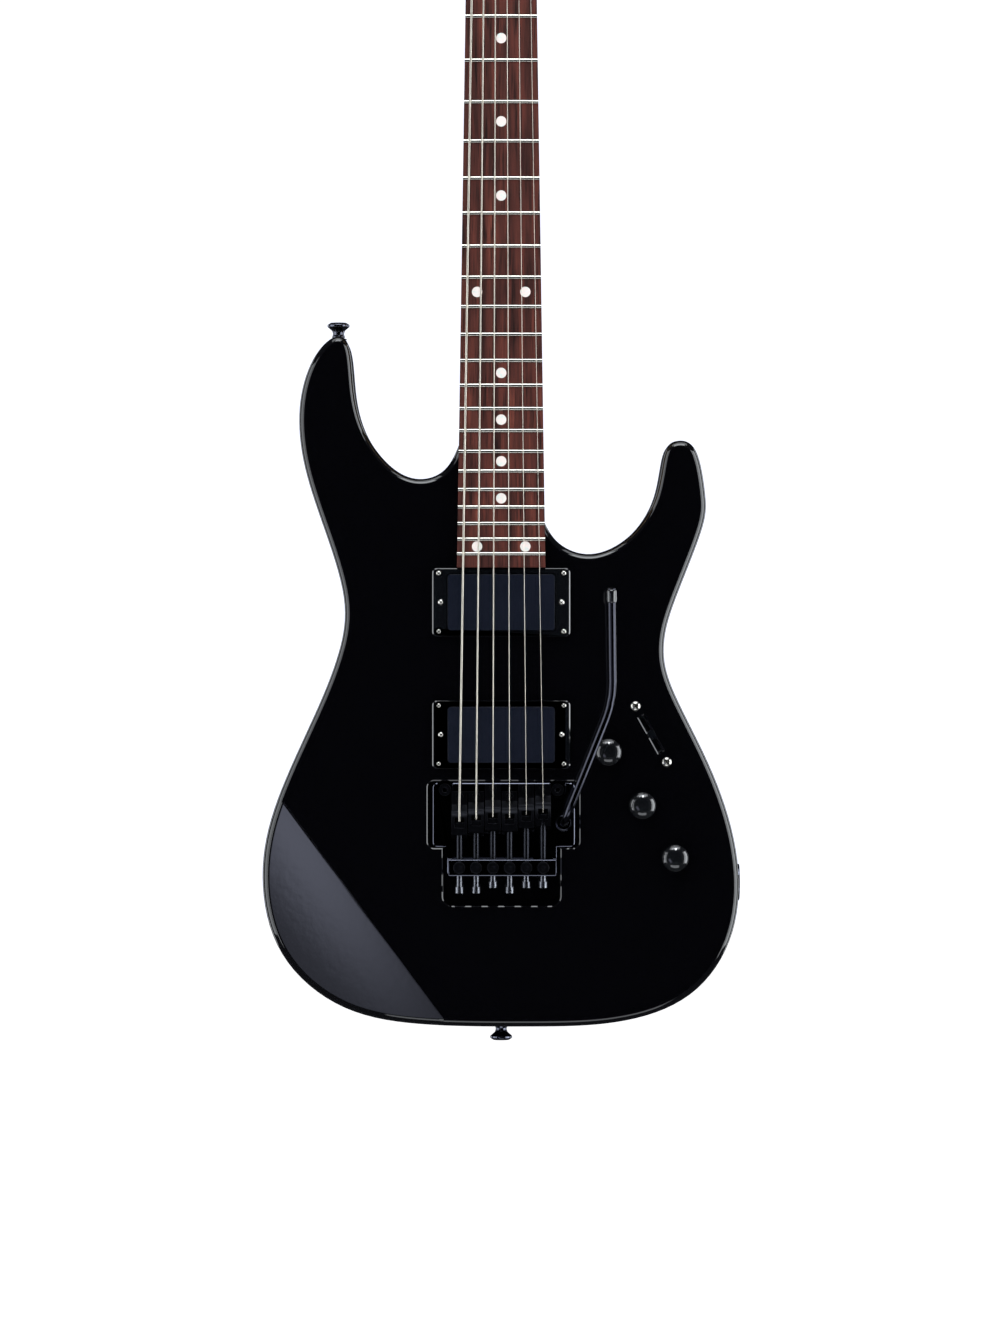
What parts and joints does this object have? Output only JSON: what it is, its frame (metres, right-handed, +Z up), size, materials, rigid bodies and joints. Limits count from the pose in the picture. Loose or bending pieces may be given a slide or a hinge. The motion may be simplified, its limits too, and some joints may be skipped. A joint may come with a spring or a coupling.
{
  "type": "electric guitar",
  "caption": "Solid-body electric guitar with bolt-on neck, active pickups, a recessed double-locking tremolo with arm, three knobs and a blade switch.",
  "frame": {"origin": "centre of the neck's gluing plane at the nut, where a hanger's yoke holds the guitar under its headstock", "axes": "+Z up the neck towards the headstock, -Y out of the strings towards the viewer, +X towards the treble side; +Y out of the back"},
  "size_m": [0.3144, 0.1078, 1.0115],
  "materials": {
    "black_lacquer": "deep gloss black polyester lacquer",
    "satin_maple": "satin clear over maple",
    "rosewood": "oiled open-pored rosewood",
    "fret_nickel": "polished nickel silver",
    "pearl": "polished pearl",
    "black_chrome": "black chrome plating",
    "black_steel": "black oxide",
    "zinc_steel": "zinc plate",
    "nickel": "bright nickel plate",
    "pickup_plastic": "satin moulded plastic, blue-black",
    "ring_plastic": "black moulded plastic",
    "knob_plastic": "black moulded plastic",
    "cover_plastic": "black textured plastic",
    "string_steel": "plain and nickel-wound steel",
    "battery_case": "lacquered steel case"
  },
  "bodies": {
    "guitar": {"body": "black_lacquer", "neck": "satin_maple", "fretboard": "rosewood", "frets": "fret_nickel", "inlays": "pearl", "truss_rod": "zinc_steel", "truss_rod_cover": "cover_plastic", "nut_base": "black_chrome", "nut_clamps": "black_chrome", "nut_clamp_bolts": "black_steel", "string_retainer": "black_chrome", "tuner_housings": "black_chrome", "tuner_bushings": "black_chrome", "pickup_rings": "ring_plastic", "pickup_neck": "pickup_plastic", "pickup_bridge": "pickup_plastic", "pickup_screws": "nickel", "tremolo_studs": "black_steel", "tremolo_springs": "zinc_steel", "spring_claw": "zinc_steel", "potentiometers": "zinc_steel", "switch_body": "nickel", "output_jack": "black_chrome", "battery": "battery_case", "control_cover": "cover_plastic", "spring_cover": "cover_plastic", "small_screws": "black_steel", "neck_plate": "black_chrome", "strap_buttons": "black_chrome", "strings": "string_steel"},
    "tremolo": {"tremolo_baseplate": "black_chrome", "tremolo_block": "zinc_steel", "saddles": "black_chrome", "string_clamp_blocks": "black_steel", "string_lock_screws": "black_steel", "saddle_screws": "black_steel", "arm_collar": "black_chrome"},
    "arm": {"tremolo_arm": "black_chrome"},
    "switch_lever": {"switch_lever": "ring_plastic"},
    "knob_1": {"knob_1": "knob_plastic"},
    "knob_2": {"knob_2": "knob_plastic"},
    "knob_3": {"knob_3": "knob_plastic"},
    "tuner_button_1": {"tuner_button_1": "black_chrome"},
    "tuner_button_2": {"tuner_button_2": "black_chrome"},
    "tuner_button_3": {"tuner_button_3": "black_chrome"},
    "tuner_button_4": {"tuner_button_4": "black_chrome"},
    "tuner_button_5": {"tuner_button_5": "black_chrome"},
    "tuner_button_6": {"tuner_button_6": "black_chrome"},
    "tuner_post_1": {"tuner_post_1": "black_chrome"},
    "tuner_post_2": {"tuner_post_2": "black_chrome"},
    "tuner_post_3": {"tuner_post_3": "black_chrome"},
    "tuner_post_4": {"tuner_post_4": "black_chrome"},
    "tuner_post_5": {"tuner_post_5": "black_chrome"},
    "tuner_post_6": {"tuner_post_6": "black_chrome"},
    "fine_tuner_1": {"fine_tuner_1": "black_chrome"},
    "fine_tuner_2": {"fine_tuner_2": "black_chrome"},
    "fine_tuner_3": {"fine_tuner_3": "black_chrome"},
    "fine_tuner_4": {"fine_tuner_4": "black_chrome"},
    "fine_tuner_5": {"fine_tuner_5": "black_chrome"},
    "fine_tuner_6": {"fine_tuner_6": "black_chrome"}
  },
  "joints": [
    {"name": "tremolo_pivot", "type": "hinge", "parent": "guitar", "child": "tremolo", "pos_m": [0, 0.00275, -0.6405], "axis": [1, 0, 0], "range_deg": [-14, 5], "stiffness_Nm_per_rad": 14, "deforming": ["strings", "tremolo_springs"]},
    {"name": "arm_swivel", "type": "hinge", "parent": "tremolo", "child": "arm", "pos_m": [0.0409, 0, -0.6619], "axis": [0, 1, 0], "range_deg": [-90, 150]},
    {"name": "knob_1_turn", "type": "hinge", "parent": "guitar", "child": "knob_1", "pos_m": [0.0703, 0, -0.6156], "axis": [0, -1, 0], "range_deg": [-150, 150]},
    {"name": "knob_2_turn", "type": "hinge", "parent": "guitar", "child": "knob_2", "pos_m": [0.0926, 0, -0.6506], "axis": [0, -1, 0], "range_deg": [-150, 150]},
    {"name": "knob_3_turn", "type": "hinge", "parent": "guitar", "child": "knob_3", "pos_m": [0.114, 0, -0.685], "axis": [0, -1, 0], "range_deg": [-150, 150]},
    {"name": "pickup_switch", "type": "hinge", "parent": "guitar", "child": "switch_lever", "pos_m": [0.0984, 0.02, -0.604], "axis": [0.8729, 0, 0.4879], "range_deg": [-13, 13]},
    {"name": "tuner_1_button", "type": "hinge", "parent": "guitar", "child": "tuner_button_1", "pos_m": [-0.02866, 0.0286, 0.05446], "axis": [-0.963, 0.0468, 0.2655], "continuous": true},
    {"name": "tuner_2_button", "type": "hinge", "parent": "guitar", "child": "tuner_button_2", "pos_m": [-0.02166, 0.03294, 0.07908], "axis": [-0.963, 0.0468, 0.2655], "continuous": true},
    {"name": "tuner_3_button", "type": "hinge", "parent": "guitar", "child": "tuner_button_3", "pos_m": [-0.01466, 0.03728, 0.1037], "axis": [-0.963, 0.0468, 0.2655], "continuous": true},
    {"name": "tuner_4_button", "type": "hinge", "parent": "guitar", "child": "tuner_button_4", "pos_m": [-0.00766, 0.04162, 0.12832], "axis": [-0.963, 0.0468, 0.2655], "continuous": true},
    {"name": "tuner_5_button", "type": "hinge", "parent": "guitar", "child": "tuner_button_5", "pos_m": [-0.00066, 0.04596, 0.15294], "axis": [-0.963, 0.0468, 0.2655], "continuous": true},
    {"name": "tuner_6_button", "type": "hinge", "parent": "guitar", "child": "tuner_button_6", "pos_m": [0.00634, 0.0503, 0.17756], "axis": [-0.963, 0.0468, 0.2655], "continuous": true},
    {"name": "tuner_1_post", "type": "hinge", "parent": "guitar", "child": "tuner_post_1", "pos_m": [-0.0207, 0.0069, 0.04948], "axis": [0, -0.9848, 0.1736], "continuous": true},
    {"name": "tuner_2_post", "type": "hinge", "parent": "guitar", "child": "tuner_post_2", "pos_m": [-0.0137, 0.01124, 0.0741], "axis": [0, -0.9848, 0.1736], "continuous": true},
    {"name": "tuner_3_post", "type": "hinge", "parent": "guitar", "child": "tuner_post_3", "pos_m": [-0.0067, 0.01559, 0.09872], "axis": [0, -0.9848, 0.1736], "continuous": true},
    {"name": "tuner_4_post", "type": "hinge", "parent": "guitar", "child": "tuner_post_4", "pos_m": [0.0003, 0.01993, 0.12334], "axis": [0, -0.9848, 0.1736], "continuous": true},
    {"name": "tuner_5_post", "type": "hinge", "parent": "guitar", "child": "tuner_post_5", "pos_m": [0.0073, 0.02427, 0.14796], "axis": [0, -0.9848, 0.1736], "continuous": true},
    {"name": "tuner_6_post", "type": "hinge", "parent": "guitar", "child": "tuner_post_6", "pos_m": [0.0143, 0.02861, 0.17258], "axis": [0, -0.9848, 0.1736], "continuous": true},
    {"name": "fine_tuner_1_turn", "type": "hinge", "parent": "tremolo", "child": "fine_tuner_1", "pos_m": [-0.0274, -0.01, -0.691], "axis": [0, -1, 0], "range_deg": [-180, 180]},
    {"name": "fine_tuner_2_turn", "type": "hinge", "parent": "tremolo", "child": "fine_tuner_2", "pos_m": [-0.01644, -0.01, -0.691], "axis": [0, -1, 0], "range_deg": [-180, 180]},
    {"name": "fine_tuner_3_turn", "type": "hinge", "parent": "tremolo", "child": "fine_tuner_3", "pos_m": [-0.00548, -0.01, -0.691], "axis": [0, -1, 0], "range_deg": [-180, 180]},
    {"name": "fine_tuner_4_turn", "type": "hinge", "parent": "tremolo", "child": "fine_tuner_4", "pos_m": [0.00548, -0.01, -0.691], "axis": [0, -1, 0], "range_deg": [-180, 180]},
    {"name": "fine_tuner_5_turn", "type": "hinge", "parent": "tremolo", "child": "fine_tuner_5", "pos_m": [0.01644, -0.01, -0.691], "axis": [0, -1, 0], "range_deg": [-180, 180]},
    {"name": "fine_tuner_6_turn", "type": "hinge", "parent": "tremolo", "child": "fine_tuner_6", "pos_m": [0.0274, -0.01, -0.691], "axis": [0, -1, 0], "range_deg": [-180, 180]}
  ],
  "couplings": [
    {"joint": "tuner_1_post", "follows": "tuner_1_button", "ratio": 0.07143},
    {"joint": "tuner_2_post", "follows": "tuner_2_button", "ratio": 0.07143},
    {"joint": "tuner_3_post", "follows": "tuner_3_button", "ratio": 0.07143},
    {"joint": "tuner_4_post", "follows": "tuner_4_button", "ratio": 0.07143},
    {"joint": "tuner_5_post", "follows": "tuner_5_button", "ratio": 0.07143},
    {"joint": "tuner_6_post", "follows": "tuner_6_button", "ratio": 0.07143}
  ]
}
